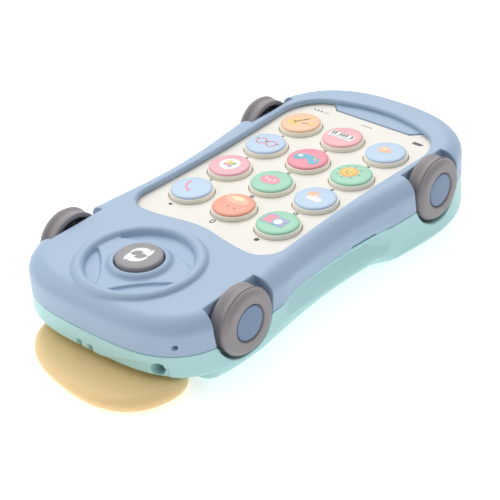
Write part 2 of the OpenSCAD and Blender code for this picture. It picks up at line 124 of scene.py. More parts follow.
def blend_of(tree, kind, a, b):
    """Two-input Math node; either input may be a number or a socket."""
    node = tree.nodes.new("ShaderNodeMath")
    node.operation = kind
    for socket, value in zip(node.inputs, (a, b)):
        if isinstance(value, (int, float)):
            socket.default_value = value
        else:
            tree.links.new(value, socket)
    return node.outputs[0]


finish = bpy.data.node_groups.new("moulded_finish", "ShaderNodeTree")
for name, kind in (("Colour", "NodeSocketColor"), ("Cloud", "NodeSocketFloat"),
                   ("Roughness", "NodeSocketFloat"), ("Grain", "NodeSocketFloat")):
    finish.interface.new_socket(name, in_out="INPUT", socket_type=kind)
for name, kind in (("Colour", "NodeSocketColor"), ("Roughness", "NodeSocketFloat"),
                   ("Normal", "NodeSocketVector")):
    finish.interface.new_socket(name, in_out="OUTPUT", socket_type=kind)
given = finish.nodes.new("NodeGroupInput").outputs
taken = finish.nodes.new("NodeGroupOutput").inputs
place = finish.nodes.new("ShaderNodeTexCoord").outputs["Object"]
cloud_waves, speck_waves, grain_waves = 38, 900, 2600
clouds = blend_of(finish, "SUBTRACT", noise(finish, place, cloud_waves, 3), 0.5)
specks = blend_of(finish, "SUBTRACT", noise(finish, place, speck_waves, 2), 0.5)
tint = finish.nodes.new("ShaderNodeHueSaturation")
both = blend_of(finish, "ADD", clouds, blend_of(finish, "MULTIPLY", specks, 0.5))
change = blend_of(finish, "MULTIPLY", both, given["Cloud"])
finish.links.new(given["Colour"], tint.inputs["Color"])
finish.links.new(blend_of(finish, "ADD", change, 1.0), tint.inputs["Value"])
finish.links.new(blend_of(finish, "SUBTRACT", 1.0, change), tint.inputs["Saturation"])
finish.links.new(tint.outputs["Color"], taken["Colour"])
wander = blend_of(finish, "MULTIPLY", both, 0.18)
finish.links.new(blend_of(finish, "ADD", given["Roughness"], wander), taken["Roughness"])
grain = finish.nodes.new("ShaderNodeBump")
grain.inputs["Distance"].default_value = 0.00004
pebble = noise(finish, place, grain_waves, 2)
height = blend_of(finish, "ADD", pebble, blend_of(finish, "MULTIPLY", clouds, 2))
finish.links.new(given["Grain"], grain.inputs["Strength"])
finish.links.new(height, grain.inputs["Height"])
finish.links.new(grain.outputs["Normal"], taken["Normal"])


def tone(red, green, blue):
    """Linear colour from 8-bit display values."""
    display = np.array([red, green, blue]) / 255
    linear = np.where(display < 0.04045, display / 12.92, ((display + 0.055) / 1.055) ** 2.4)
    return (*linear.tolist(), 1)


def moulded(name, colour, cloud=0.08, roughness=0.42, grain=0.25, metallic=0.0, soft=0.0):
    """Plastic, rubber or metal with the moulded finish; soft is how much light soaks in."""
    material = bpy.data.materials.new(name)
    material.use_nodes = True
    tree = material.node_tree
    shader = tree.nodes["Principled BSDF"]
    look = tree.nodes.new("ShaderNodeGroup")
    look.node_tree = finish
    look.inputs["Cloud"].default_value = cloud
    look.inputs["Roughness"].default_value = roughness
    look.inputs["Grain"].default_value = grain
    if isinstance(colour, str):
        ink = tree.nodes.new("ShaderNodeAttribute")
        ink.attribute_name = colour
        tree.links.new(ink.outputs["Color"], look.inputs["Colour"])
    else:
        look.inputs["Colour"].default_value = colour
    tree.links.new(look.outputs["Colour"], shader.inputs["Base Color"])
    tree.links.new(look.outputs["Roughness"], shader.inputs["Roughness"])
    tree.links.new(look.outputs["Normal"], shader.inputs["Normal"])
    shader.inputs["Metallic"].default_value = metallic
    if soft:
        shader.inputs["Subsurface Weight"].default_value = soft
        shader.inputs["Subsurface Radius"].default_value = (0.003, 0.002, 0.001)
        shader.inputs["Subsurface Scale"].default_value = 1
    return material


# ------------------------------------------------------------------------- blue upper shell
# The top casing, one pale blue moulding 2 mm thick: a flat deck with a deep rounded shoulder, the
# frame round the screen, a steering wheel in relief and the upper halves of four wheel arches. It
# sits on the lower shell and is screwed to it from below. Lengths here are in millimetres.
MM = 0.001


def span(node):
    """Lowest and highest corner of a CAD node."""
    return [np.array(corner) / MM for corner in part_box(node)]


def middle(node):
    """Middle of a CAD node's box."""
    return sum(span(node)) / 2


seam_z = span("upper_shell")[0][2]
key_top = span("key_5")[1][2]
panel_top = span("key_panel")[1][2]
hub_y = middle("mode_button")[1]
keypad_y = (middle("key_5")[1] + middle("key_8")[1]) / 2
axle_z = middle("wheel_fr")[2]
arch_y = [middle("wheel_fr")[1], middle("wheel_rr")[1]]
arch_r = (span("wheel_fr")[1][2] - span("wheel_fr")[0][2]) / 2 + 0.9
arch_x = span("wheel_fr")[0][0] - 2.4
front_w, rear_w, waist_dip = 38.2, 38.9, 3.6
front_cap_y, rear_cap_y = keypad_y - 57.6, keypad_y + 25.2
front_b, rear_b = 35.6, 37.1
wall = 2.0
shoulder_in, shoulder_drop = 6.0, 5.4
arch_liner, arch_flare, axle_bore_r = 1.6, 1.6, 1.75
window_front, window_rear, window_half, window_corner, bow_r = 45.5, 49.9, 29.6, 8.5, 48.5
notch_start, notch_half = 43.8, 15.5
tab_rise, tab_root, tab_reach = 0.45, 1.5, 2.0
ring_r, ring_tube, ring_sink = 18.4, 2.1, 0.6
collar_r, collar_rise, hub_bore_r, spoke_depth = 10.2, 1.5, 7.65, 0.9
pin_x, pin_z, pin_r = 30, 17.7, 0.7
slot_y, slot_half, slot_rise = 14.5, 5.4, 0.7
front_wall_y = -60


def body_outline(count):
    """Right half of the plan outline, front to rear: a superellipse end of power 3.2, a side whose
    waist is a skewed sine, and a superellipse end of power 2.5."""
    f = np.linspace(0, np.pi / 2, count)
    t = np.linspace(0, 1, count)[1:-1]
    waist = waist_dip * np.sin(np.pi * t ** 0.9) ** 1.3
    x = [front_w * np.sin(f) ** 0.625, front_w + (rear_w - front_w) * t - waist,
         rear_w * np.cos(f) ** 0.8]
    y = [front_cap_y - front_b * np.cos(f) ** 0.625, front_cap_y + (rear_cap_y - front_cap_y) * t,
         rear_cap_y + rear_b * np.sin(f) ** 0.8]
    return np.concatenate(x), np.concatenate(y)


def depth_chart(step=0.25):
    """Distance in from the outline at each point of a plan grid, negative outside: the nearest
    of the outline's own straight pieces, found for the whole grid at once."""
    line_x, line_y = body_outline(220)
    x = np.arange(-2, 43, step)
    y = np.arange(-77, 88, step)
    grid_x, grid_y = np.meshgrid(x, y, indexing="ij")
    nearest = np.full(grid_x.shape, 1e9)
    for k in range(len(line_x) - 1):
        edge_x, edge_y = line_x[k + 1] - line_x[k], line_y[k + 1] - line_y[k]
        along = (grid_x - line_x[k]) * edge_x + (grid_y - line_y[k]) * edge_y
        along = np.clip(along / (edge_x ** 2 + edge_y ** 2), 0, 1)
        off_x = grid_x - line_x[k] - along * edge_x
        off_y = grid_y - line_y[k] - along * edge_y
        nearest = np.minimum(nearest, off_x ** 2 + off_y ** 2)
    half_width = np.interp(grid_y, line_y, line_x, left=-1, right=-1)
    return np.where(np.abs(grid_x) < half_width, 1, -1) * np.sqrt(nearest), x[0], y[0], step


depth_table, chart_x, chart_y, chart_step = depth_chart()


def plan_depth(x, y):
    """How far in from the body's outline a point lies, read between the chart's four nearest
    values."""
    u = np.clip((x - chart_x) / chart_step, 0, depth_table.shape[0] - 1.001)
    v = np.clip((y - chart_y) / chart_step, 0, depth_table.shape[1] - 1.001)
    i, j = u.astype(int), v.astype(int)
    u, v = u - i, v - j
    low = depth_table[i, j] * (1 - v) + depth_table[i, j + 1] * v
    high = depth_table[i + 1, j] * (1 - v) + depth_table[i + 1, j + 1] * v
    return low * (1 - u) + high * u


def both_in(a, b, radius=0.0):
    """Field of what lies inside both fields, their meeting edge rounded: a field is a distance
    from a surface, negative inside."""
    rounded = np.hypot(np.maximum(radius + a, 0), np.maximum(radius + b, 0))
    return np.minimum(-radius, np.maximum(a, b)) + rounded


def either_in(a, b, radius=0.0):
    """Field of what lies inside one field or the other, with a fillet where they meet."""
    return -both_in(-a, -b, radius)


def casing(depth, z, inset, drop, level):
    """Wall and flat roof joined by a quarter ellipse, inset wide and drop high."""
    side = inset - depth
    roof = (z - level + drop) * inset / drop
    return both_in(side - inset, roof - inset, inset)


def window(side, y):
    """Screen opening in plan: bowed rear edge, sides that follow the waist, a bump round the
    steering wheel, rounded corners."""
    v = y - keypad_y
    rear_edge = (v - window_rear + side ** 2 / (2 * bow_r)) / np.hypot(1, side / bow_r)
    reach = np.clip((v + window_front) / 86, 0, 1)
    side_edge = side - window_half + 1.5 * np.sin(np.pi * reach)
    front_edge = -window_front + 3.1 * np.exp(-((side / 12.6) ** 2)) - v
    return both_in(both_in(side_edge, rear_edge, window_corner), front_edge, window_corner)


def notch(side, y):
    """Blue ledge in the middle of the window's rear edge, a trapezium with softened corners."""
    v = y - keypad_y - notch_start
    return both_in(both_in(-v, (side - notch_half - v) / math.sqrt(2), 0.6), side - 22, 0.6)


def wheel_windows(x, y):
    """Sunk windows of the steering wheel in plan: a crescent above the hub and a lens on each
    side of the lower spoke."""
    inside_ring, crescent_r, crescent_away, lens_r, lens_away, round_hub = 16.4, 31, 20.7, 42, 53.5, 10.4
    v = y - hub_y
    disc = np.hypot(x, v) - inside_ring
    field = both_in(disc, crescent_r - np.hypot(x, v + crescent_away), 0.8)
    for turn in (math.radians(-44), math.radians(-136)):
        lens = np.hypot(x - lens_away * math.cos(turn), v - lens_away * math.sin(turn)) - lens_r
        field = np.minimum(field, both_in(disc, lens, 0.8))
    return both_in(field, round_hub - np.hypot(x, v))


def grip_recess(y, z):
    """How far in from the wall the finger grip on each side lies. The wall swells a little towards
    the grip's edges; the upper edge falls to the rear, the lower one is a parabola, and the
    scoop between them is deepest below the seam."""
    upper = both_in(z - 21.0 + 0.103 * (y + 19.7), -25.0 - y, 5)
    lower = both_in(5.6 + 0.0028 * (11.6 - y) ** 2 - z, (y - 27.0) * 0.6, 4)
    lower = both_in(lower, (-28.0 - y) * 0.7, 4)
    scoop = np.minimum(-0.19 * upper + 0.55 * np.maximum(seam_z - z, 0), -0.36 * lower)
    swell = 0.6 * np.exp(-(np.maximum(np.maximum(upper, lower), 0) / 5) ** 2)
    return np.clip(scoop, 0, 2.4) - swell


def arches(side, y, z, radius, start):
    """Cylinders round both axles, from a distance off the middle outwards, flared towards the
    deck."""
    round_axle = np.minimum(np.hypot(y - arch_y[0], z - axle_z), np.hypot(y - arch_y[1], z - axle_z))
    flare = arch_flare * np.clip((z - axle_z) / 7, 0, 1)
    return np.maximum(round_axle - radius - flare, start - side)


def axle_bores(side, y, z):
    """Holes for the stub axles through the inner wall of each arch."""
    round_axle = np.minimum(np.hypot(y - arch_y[0], z - axle_z), np.hypot(y - arch_y[1], z - axle_z))
    return np.maximum(round_axle - axle_bore_r, arch_x - 4 - side)


def upper_shell(x, y, z):
    """Field of the blue shell: shoulder and deck with the ring, hub collar and notch tab joined on,
    less the hollow, arches, axle bores, screen opening, hub bore, steering wheel windows, pin
    hole and side slots."""
    side = np.abs(x)
    depth = plan_depth(side, y) - grip_recess(y, z)
    from_hub = np.hypot(x, y - hub_y)
    body = casing(depth, z, shoulder_in, shoulder_drop, key_top)
    ring = np.hypot(from_hub - ring_r, z - key_top + ring_sink) - ring_tube
    body = either_in(body, ring, 0.5)
    collar_side = (from_hub - collar_r + 0.85 * (z - key_top)) / 1.31
    collar = both_in(collar_side, z - key_top - collar_rise, 0.6)
    body = either_in(body, collar, 0.5)
    body = both_in(body, seam_z + 0.06 - z, 0.3)
    hollow = casing(depth - wall, z, shoulder_in - 1, shoulder_drop - 1, panel_top)
    hollow = np.maximum(hollow, -arches(side, y, z, arch_r + arch_liner, arch_x - arch_liner))
    body = np.maximum(body, -hollow)
    body = both_in(body, -arches(side, y, z, arch_r, arch_x), 0.45)
    body = np.maximum(body, -axle_bores(side, y, z))
    body = both_in(body, -np.maximum(window(side, y), panel_top - 1.6 - z), 1.3)
    tab = both_in(notch(side, y), z - panel_top - tab_rise, 0.25)
    tab = np.maximum(tab, np.maximum(panel_top - tab_root - z, window(side, y) - tab_reach))
    body = either_in(body, tab, 0.35)
    bore = np.maximum(from_hub - hub_bore_r, panel_top - 1 - z)
    body = both_in(body, -bore, 0.5)
    sunk = both_in(wheel_windows(x, y), key_top - spoke_depth - z, 0.5)
    body = both_in(body, -sunk, 0.5)
    pin_hole = np.maximum(np.hypot(x - pin_x, z - pin_z) - pin_r, y - front_wall_y)
    body = np.maximum(body, -pin_hole)
    slot = np.maximum(np.abs(y - slot_y) - slot_half, z - seam_z - slot_rise)
    slot = np.maximum(slot, 20 - side)
    return both_in(body, -slot, 0.2)


def thin_out(verts, faces, share):
    """Keeps a share of the faces: most where the surface bends, few where it is flat."""
    dense = bpy.data.meshes.new("dense")
    dense.from_pydata(verts.tolist(), [], faces.tolist())
    holder = bpy.data.objects.new("dense", dense)
    bpy.context.scene.collection.objects.link(holder)
    fewer = holder.modifiers.new("fewer", "DECIMATE")
    fewer.ratio = share
    made = holder.evaluated_get(bpy.context.evaluated_depsgraph_get()).to_mesh()
    made.calc_loop_triangles()
    points = np.zeros(len(made.vertices) * 3)
    made.vertices.foreach_get("co", points)
    triangles = np.zeros(len(made.loop_triangles) * 3, int)
    made.loop_triangles.foreach_get("vertices", triangles)
    bpy.data.objects.remove(holder)
    bpy.data.meshes.remove(dense)
    return points.reshape(-1, 3), triangles.reshape(-1, 3)


def skin(field, low, high, step, share):
    """Closed surface of a field. Each cell of a cubic lattice that the surface crosses gets one
    vertex at the mean of its edge crossings, and four such cells round a crossed edge make a
    face. Vertices settle on the surface, flat stretches are thinned to a share of the faces,
    and the field's slope gives the normals."""
    counts = [int(math.ceil((b - a) / step)) + 1 for a, b in zip(low, high)]
    x, y, z = [a + step * np.arange(n) for a, n in zip(low, counts)]
    values = field(x[:, None, None], y[None, :, None], z[None, None, :])
    shape = np.array(values.shape)
    totals, faces = [], []
    for axis in range(3):
        first = np.take(values, range(shape[axis] - 1), axis)
        second = np.take(values, range(1, shape[axis]), axis)
        crossed = np.argwhere((first < 0) != (second < 0))
        a, b = first[tuple(crossed.T)], second[tuple(crossed.T)]
        point = crossed.astype(float)
        point[:, axis] += a / (a - b)
        p, q = (axis + 1) % 3, (axis + 2) % 3
        corners = []
        for dp, dq in ((-1, -1), (0, -1), (0, 0), (-1, 0)):
            cell = crossed.copy()
            cell[:, p] += dp
            cell[:, q] += dq
            corners.append(np.ravel_multi_index(cell.T, shape))
            totals.append((corners[-1], point))
        quad = np.stack(corners, 1)
        faces.append(np.where((a < 0)[:, None], quad, quad[:, ::-1]))
    cells = np.concatenate([t[0] for t in totals])
    points = np.concatenate([t[1] for t in totals])
    used, index = np.unique(cells, return_inverse=True)
    tally = np.bincount(index)
    verts = np.stack([np.bincount(index, points[:, k]) / tally for k in range(3)], 1)
    verts = verts * step + np.array(low)
    faces = np.searchsorted(used, np.concatenate(faces))

    verts, faces = thin_out(settle(field, verts, 0.4 * step), faces, share)
    verts = settle(field, verts, 0.1 * step)
    g = slope(field, verts)
    return verts, faces, g / np.maximum(np.linalg.norm(g, axis=1), 1e-9)[:, None]


def slope(field, verts):
    """Central differences of a field at each vertex."""
    shifts = np.eye(3) * 0.04
    return np.stack([(field(*(verts + s).T) - field(*(verts - s).T)) / 0.08 for s in shifts], 1)


def settle(field, verts, reach):
    """Slides each vertex down the field's slope onto the surface, no further than reach."""
    for _ in range(2):
        g = slope(field, verts)
        move = field(*verts.T)[:, None] * g / np.maximum((g ** 2).sum(1), 0.05)[:, None]
        length = np.linalg.norm(move, axis=1)[:, None]
        verts = verts - move * np.minimum(1, reach / np.maximum(length, 1e-9))
    return verts


def add_piece(name, verts, faces, material, body, nodes=(), normals=None, inks=None):
    """Puts a mesh given in millimetres into the scene, rides it on its body and hides the CAD
    nodes that it stands for."""
    mesh = bpy.data.meshes.new(name)
    mesh.from_pydata((np.asarray(verts) * MM).tolist(), [], [list(f) for f in faces])
    mesh.polygons.foreach_set("use_smooth", np.ones(len(mesh.polygons), bool))
    if normals is None:
        mesh.set_sharp_from_angle(angle=math.radians(38))
    else:
        mesh.normals_split_custom_set_from_vertices(normals.tolist())
    if inks is not None:
        ink = mesh.attributes.new("ink", "FLOAT_COLOR", "POINT")
        ink.data.foreach_set("color", np.asarray(inks, np.float32).ravel())
    mesh.materials.append(material)
    piece = bpy.data.objects.new(name, mesh)
    bpy.context.scene.collection.objects.link(piece)
    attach(piece, body)
    if nodes:
        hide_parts(*nodes)
    return piece


blue_plastic = moulded("blue_plastic", tone(167, 190, 216), cloud=0.05, roughness=0.42, grain=0.22)
shell_low, shell_high = span("upper_shell")
margin = np.array([1.1, 1.1, 1.1])
verts, faces, normals = skin(upper_shell, shell_low - margin, shell_high + margin, 0.44, 0.38)
add_piece("upper_casing", verts, faces, blue_plastic, "housing", ["upper_shell"], normals)

# ------------------------------------------------------------------------ mint lower shell
# The bottom casing, pale mint: rounded belly, lower halves of the arches and of the finger grips.
# In front it has two strap slots and, on the right, a sunk plate with a blind hole; underneath are
# the battery bay, the speaker holes, the switch slot and the screw wells.
door_low, door_high = span("battery_door")
door_screw = middle("door_screw")
speaker = middle("loudspeaker")
switch = middle("slide_switch")
keel_y, keel_height, keel_slope = -55, 5.2, 0.1228
clamp_block_y, clamp_block_top = -53, 11
bay_off, bay_half_y, bay_half_x, bay_roof = 15.5, 17.5, 29, 4
door_gap, door_tab_r, plate_depth = 0.2, 4.7, 0.5
speaker_pitch, speaker_hole_r = 4.4, 1.1
well_places, well_r, well_wall = ((22, -29), (18, 73)), 2.7, 1.4
blind_x, blind_z, blind_r = 25, 9.6, 2
strap_x, strap_z, strap_apart = -0.9, 8.7, 2.3


def front_plate(x, z):
    """Sunk plate on the right of the front: its upper edge climbs outwards and its end is
    upright."""
    return both_in(z - 5.9 - 0.415 * x + 0.0065 * x ** 2, x - 28.4, 1.0)


def belly(y):
    """Radius of the rounded bottom edge: small at the rear, and large from the grip forwards."""
    t = np.clip((31 - y) / 12, 0, 1)
    return 2.8 + 6.0 * t * t * (3 - 2 * t)


def lower_shell(x, y, z):
    """Field of the mint shell: belly and wall, less the hollow, the arches, the sloping
    underside at the front, the openings underneath and the holes in the front wall."""
    side = np.abs(x)
    depth = plan_depth(side, y) - grip_recess(y, z)
    step = np.clip(-front_plate(x, z) / 0.7, 0, 1)
    plate = np.where(y < -50, plate_depth * step * step * (3 - 2 * step), 0)
    body = casing(depth - plate, -z, belly(y), belly(y), 0)
    body = both_in(body, z - seam_z + 0.06, 0.3)
    keel = np.maximum(z - keel_height + keel_slope * (y - keel_y), y - keel_y)
    body = both_in(body, -keel, 1.6)
    hollow = casing(depth - wall, -z, belly(y) - wall, belly(y) - wall, -wall)
    hollow = np.maximum(hollow, -arches(side, y, z, arch_r + arch_liner, arch_x - arch_liner))
    hollow = np.maximum(hollow, -np.maximum(y - clamp_block_y, z - clamp_block_top))
    bay = np.maximum(np.abs(y - door_low[1] - bay_off) - bay_half_y, side - bay_half_x)
    hollow = np.maximum(hollow, -np.maximum(bay, z - bay_roof))
    body = np.maximum(body, -hollow)
    body = both_in(body, -arches(side, y, z, arch_r, arch_x), 0.45)
    door_back = door_screw[1] - 1.5
    door = np.maximum(side - door_high[0] - door_gap, door_low[1] - door_gap - y)
    door = np.maximum(door, y - door_back)
    door = np.minimum(door, np.hypot(x, y - door_screw[1]) - door_tab_r)
    body = both_in(body, -np.maximum(door, z - 2), 0.2)
    for ring in range(3):
        for k in range(max(1, 6 * ring)):
            turn = math.pi * k / (3 * max(1, ring))
            hole_x = speaker_pitch * ring * math.cos(turn)
            hole_y = speaker[1] + speaker_pitch * ring * math.sin(turn)
            hole = np.hypot(x - hole_x, y - hole_y) - speaker_hole_r
            body = np.maximum(body, -np.maximum(hole, z - 5))
    recess = np.maximum(np.maximum(side - 7.6, np.abs(y - switch[1]) - 3.6), z - 1)
    slide = np.maximum(np.maximum(side - 5, np.abs(y - switch[1]) - 2.4), z - 6)
    body = np.maximum(body, -np.minimum(recess, slide))
    for well_x, well_y in well_places:
        well = np.hypot(side - well_x, y - well_y) - well_r
        post = np.maximum(well - well_wall, np.maximum(z - seam_z, 1 - z))
        body = np.minimum(body, post)
        body = both_in(body, -np.maximum(well, z - 7), 0.3)
    blind = np.maximum(np.hypot(x - blind_x, z - blind_z) - blind_r, y - front_wall_y)
    body = both_in(body, -blind, 0.25)
    strap = np.abs(np.abs(x - strap_x) - strap_apart) - 0.9
    strap = both_in(strap, np.abs(z - strap_z) - 1.3, 0.5)
    return both_in(body, -np.maximum(strap, y + 69.5), 0.25)


mint_plastic = moulded("mint_plastic", tone(184, 228, 229), cloud=0.05, roughness=0.44, grain=0.2)
shell_low, shell_high = span("lower_shell")
verts, faces, normals = skin(lower_shell, shell_low - margin, shell_high + margin, 0.5, 0.32)
add_piece("lower_casing", verts, faces, mint_plastic, "housing", ["lower_shell"], normals)

# ---------------------------------------------------------------------------- rear wing
# Soft wing of sandy silicone, a thick blade with a full round edge, turned a little about the clamp
# bar that holds it under the shell.
wing_high = span("rear_wing")[1]
clamp = middle("wing_clamp")
wing_turn, wing_reach = math.radians(-10), 4.4
wing_w, wing_b, wing_back = 28.2, 20.45, 14


def wing_blade(around=240, across=26):
    """Closed form on a grid of angle and profile. The plan is a superellipse of power 2.4, turned
    about the clamp and cut off straight at its rear; the profile runs from the middle of the
    underside round the edge to the middle of the top, which is a little hollow."""
    a = np.linspace(0, 2 * np.pi, around, endpoint=False)
    power = 2 / 2.4
    plan_x = np.sign(np.sin(a)) * np.abs(np.sin(a)) ** power * wing_w
    plan_y = np.abs(np.cos(a)) ** power * np.where(np.cos(a) > 0, -wing_b, wing_back) - wing_reach
    x = clamp[0] + plan_x * math.cos(wing_turn) - plan_y * math.sin(wing_turn)
    y = clamp[1] + plan_x * math.sin(wing_turn) + plan_y * math.cos(wing_turn)
    y = np.minimum(y, wing_high[1])
    middle_x, middle_y = clamp[0] - 1, clamp[1] - 6
    radius = np.hypot(x - middle_x, y - middle_y)
    turn = np.linspace(-np.pi / 2, np.pi / 2, across)
    thick = wing_high[2] / 2
    reach = np.array([0.2, 0.4, 0.6, 0.78, 0.9])
    scale = np.concatenate([reach, np.ones(across), reach[::-1]])
    inset = np.concatenate([np.full(5, 2.6), 2.6 * (1 - np.cos(turn)), np.full(5, 2.6)])
    dish = -0.25 * (1 - reach ** 4)
    z = np.concatenate([0 * reach, thick + thick * np.sin(turn), 2 * thick + dish[::-1]])
    scale = (radius[None, :] - inset[:, None]) / radius[None, :] * scale[:, None]
    px, py = scale * (x - middle_x)[None, :] + middle_x, scale * (y - middle_y)[None, :] + middle_y
    return np.stack([px, py, np.broadcast_to(z[:, None], px.shape)], 2)


def closed_rows(rows):
    """Vertices and faces of a grid of closed rings, with a pole at each end."""
    count, around = rows.shape[:2]
    verts = np.concatenate([rows.reshape(-1, 3), rows[:1].mean(1), rows[-1:].mean(1)])
    i = np.arange(count - 1)[:, None] * around
    j = np.arange(around)[None, :]
    k = (j + 1) % around
    quads = np.stack([i + j, i + k, i + around + k, i + around + j], 2).reshape(-1, 4)
    j, k = j.ravel(), k.ravel()
    last = (count - 1) * around
    foot = np.stack([k, j, np.full(around, count * around)], 1)
    head = np.stack([last + j, last + k, np.full(around, count * around + 1)], 1)
    return verts, quads.tolist() + foot.tolist() + head.tolist()


sandy_silicone = moulded("sandy_silicone", tone(255, 221, 163), cloud=0.08, roughness=0.5,
                         grain=0.3, soft=0.25)
verts, faces = closed_rows(wing_blade()[:, ::-1])
add_piece("wing_blade", verts, faces, sandy_silicone, "housing", ["rear_wing"])

# ------------------------------------------------------------------------------ road wheels
# Four grey wheels, open and ribbed on the side that faces the body, pressed on steel stub axles.
# The tyre has a full outer lip and a neck behind it; a blue cap sits in a moat in the outer face.
wheel_r = (span("wheel_fr")[1][2] - span("wheel_fr")[0][2]) / 2
wheel_w = span("wheel_fr")[1][0] - span("wheel_fr")[0][0]


def arc(centre_r, centre_h, radius, start, end, count=7):
    """Points of a profile along a circular arc, angles in degrees."""
    a = np.radians(np.linspace(start, end, count))
    return np.stack([centre_r + radius * np.cos(a), centre_h + radius * np.sin(a)], 1)


tread_end = wheel_w + 1.3
wheel_profile = np.concatenate([
    [[0, 1.1], [3, 1.1], [5.6, 1.1]], arc(6.4, 0.45, 0.45, 180, 270, 5), [[7.4, 0.0]],
    arc(8.3, 2.1, 2.1, 270, 360, 10), arc(8.6, 1.9, 2.05, 4, 38, 4), [[wheel_r - 0.75, 3.7]],
    [[wheel_r - 0.72, 4.2], [wheel_r - 0.45, 5.0]], arc(wheel_r - 0.85, tread_end - 0.5, 0.5, 0, 90, 5),
    arc(9.0, tread_end - 0.3, 0.3, 90, 180, 4), [[8.6, 4.2], [8.5, 2.6]],
    [[8.2, 2.3], [5.5, 2.2], [3.2, 2.2], [2.9, 2.5], [2.8, 4.6], [2.6, wheel_w - 0.2], [1.8, wheel_w]]])


def wheel_form(around=200):
    """Grid of angle and profile in (radius, height from the outer face). Where one of five ribs
    crosses the hollow side, the hollow's floor stands up to the rib's edge."""
    a = np.linspace(0, 2 * np.pi, around, endpoint=False)
    r = np.broadcast_to(wheel_profile[:, 0:1], (len(wheel_profile), around))
    h = np.broadcast_to(wheel_profile[:, 1:2], r.shape)
    nearest = np.abs((a * 5 / (2 * np.pi) + 0.5) % 1 - 0.5) * 2 * np.pi / 5
    on_rib = np.clip((0.75 - nearest[None, :] * np.maximum(r, 3)) / 0.2, 0, 1)
    hollow = (np.arange(len(r)) > 26)[:, None] & (h < 4.3) & (r < 8.55)
    h = np.where(hollow, h + (4.4 - h) * on_rib, h)
    return np.stack([r * np.cos(a), r * np.sin(a), h], 2)


def stand_wheel(rows, side, y, outer):
    """Turns rings made in (across, across, height from the outer face) so that the face looks
    outwards at the given side of the body."""
    turned = np.stack([side * (outer - rows[..., 2]), y + rows[..., 0], axle_z + side * rows[..., 1]], 2)
    return turned


cap_profile = np.concatenate([
    [[5.35, 1.05]], arc(5.1, 0.45, 0.4, 0, -90, 6), [[4.2, 0.0], [2.8, -0.06], [1.4, -0.09]]])
grey_rubber = moulded("grey_rubber", tone(152, 147, 150), cloud=0.08, roughness=0.5, grain=0.4)
cap_blue = moulded("cap_blue", tone(118, 142, 174), cloud=0.06, roughness=0.38, grain=0.2)
corners = {"fl": ("front_left", -1), "fr": ("front_right", 1),
           "rl": ("rear_left", -1), "rr": ("rear_right", 1)}
for code, (corner, side) in corners.items():
    low, high = span("wheel_" + code)
    outer, y = max(abs(low[0]), abs(high[0])), middle("wheel_" + code)[1]
    verts, faces = closed_rows(stand_wheel(wheel_form()[:, ::-1], side, y, outer))
    add_piece("tyre_" + code, verts, faces, grey_rubber, "wheel_" + corner, ["wheel_" + code])
    a = np.linspace(0, 2 * np.pi, 96, endpoint=False)
    r, h = cap_profile[:, 0:1], cap_profile[:, 1:2]
    rows = np.stack(np.broadcast_arrays(r * np.cos(a), r * np.sin(a), h + 0.25), 2)
    verts, faces = closed_rows(stand_wheel(rows, side, y, outer))
    add_piece("cap_" + code, verts, faces, cap_blue, "wheel_" + corner, ["hub_cap_" + code])

# ------------------------------------------------------------------------------------- keys
# Twelve round keys. Each is a cream button whose rim shows as a thin ledge under a glossy
# domed face in its own colour, printed with a small picture.
key_r = 7.35


def lathe(profile, centre, around=96):
    """Closed form of revolution about the upright through a centre: profile of radius and height
    times angle."""
    profile = np.asarray(profile, float)
    a = np.linspace(0, 2 * np.pi, around, endpoint=False)
    r, h = profile[:, 0:1], profile[:, 1:2]
    return closed_rows(np.stack(np.broadcast_arrays(
        centre[0] + r * np.cos(a), centre[1] + r * np.sin(a), h), 2))


face_edge, face_r = key_top - 0.75, 6.86
rim_profile = np.concatenate([
    [[2, panel_top - 1.6], [key_r, panel_top - 1.6]], arc(key_r - 0.3, face_edge - 0.35, 0.3, 0, 90, 5),
    [[6.4, face_edge - 0.03], [3, face_edge - 0.03]]])
face_profile = np.concatenate([
    [[3, face_edge - 0.2], [face_r - 0.15, face_edge - 0.2], [face_r, face_edge - 0.02]],
    arc(face_r - 0.55, face_edge - 0.02, 0.55, 12, 78, 5)])
dome_r = np.linspace(face_r - 0.6, 0.6, 8)


def dome(r):
    """Height of the face: nearly level in the middle and falling to its rounded edge."""
    return key_top - 0.2 * (r / face_r) ** 2.6


face_profile = np.concatenate([face_profile, np.stack([dome_r, dome(dome_r)], 1)])
cream = moulded("cream_plastic", tone(250, 244, 230), cloud=0.04, roughness=0.4, grain=0.15)
face_tones = {
    "key_1": ("key_peach", tone(250, 205, 165)), "key_2": ("key_pink", tone(247, 184, 190)),
    "key_3": ("key_sky", tone(193, 217, 240)), "key_4": ("key_sky", tone(196, 219, 242)),
    "key_5": ("key_coral", tone(244, 150, 168)), "key_6": ("key_green", tone(164, 221, 191)),
    "key_7": ("key_pink", tone(247, 184, 196)), "key_8": ("key_green", tone(163, 220, 190)),
    "key_9": ("key_sky", tone(193, 216, 242)), "key_star": ("key_sky", tone(195, 219, 242)),
    "key_0": ("key_coral", tone(247, 168, 142)), "key_hash": ("key_green", tone(162, 220, 190))}
for node, (slot, colour) in face_tones.items():
    centre = middle(node)
    verts, faces = lathe(rim_profile, centre)
    add_piece(node + "_rim", verts, faces, cream, node + "_cap", [node])
    verts, faces = lathe(face_profile, centre)
    glossy = moulded(node + "_face", colour, cloud=0.05, roughness=0.3, grain=0.08)
    add_piece(node + "_face", verts, faces, glossy, node + "_cap")

# ------------------------------------------------------------------------- printed pictures
# Every key carries a small pad-printed picture, and the panel carries the key's number in dark grey
# in front of it and a row of status marks along its far edge. Ink lies as a film on the plastic.
ink_film = moulded("ink_film", "ink", cloud=0.04, roughness=0.35, grain=0.1)
film_t, film_root = 0.035, 0.12


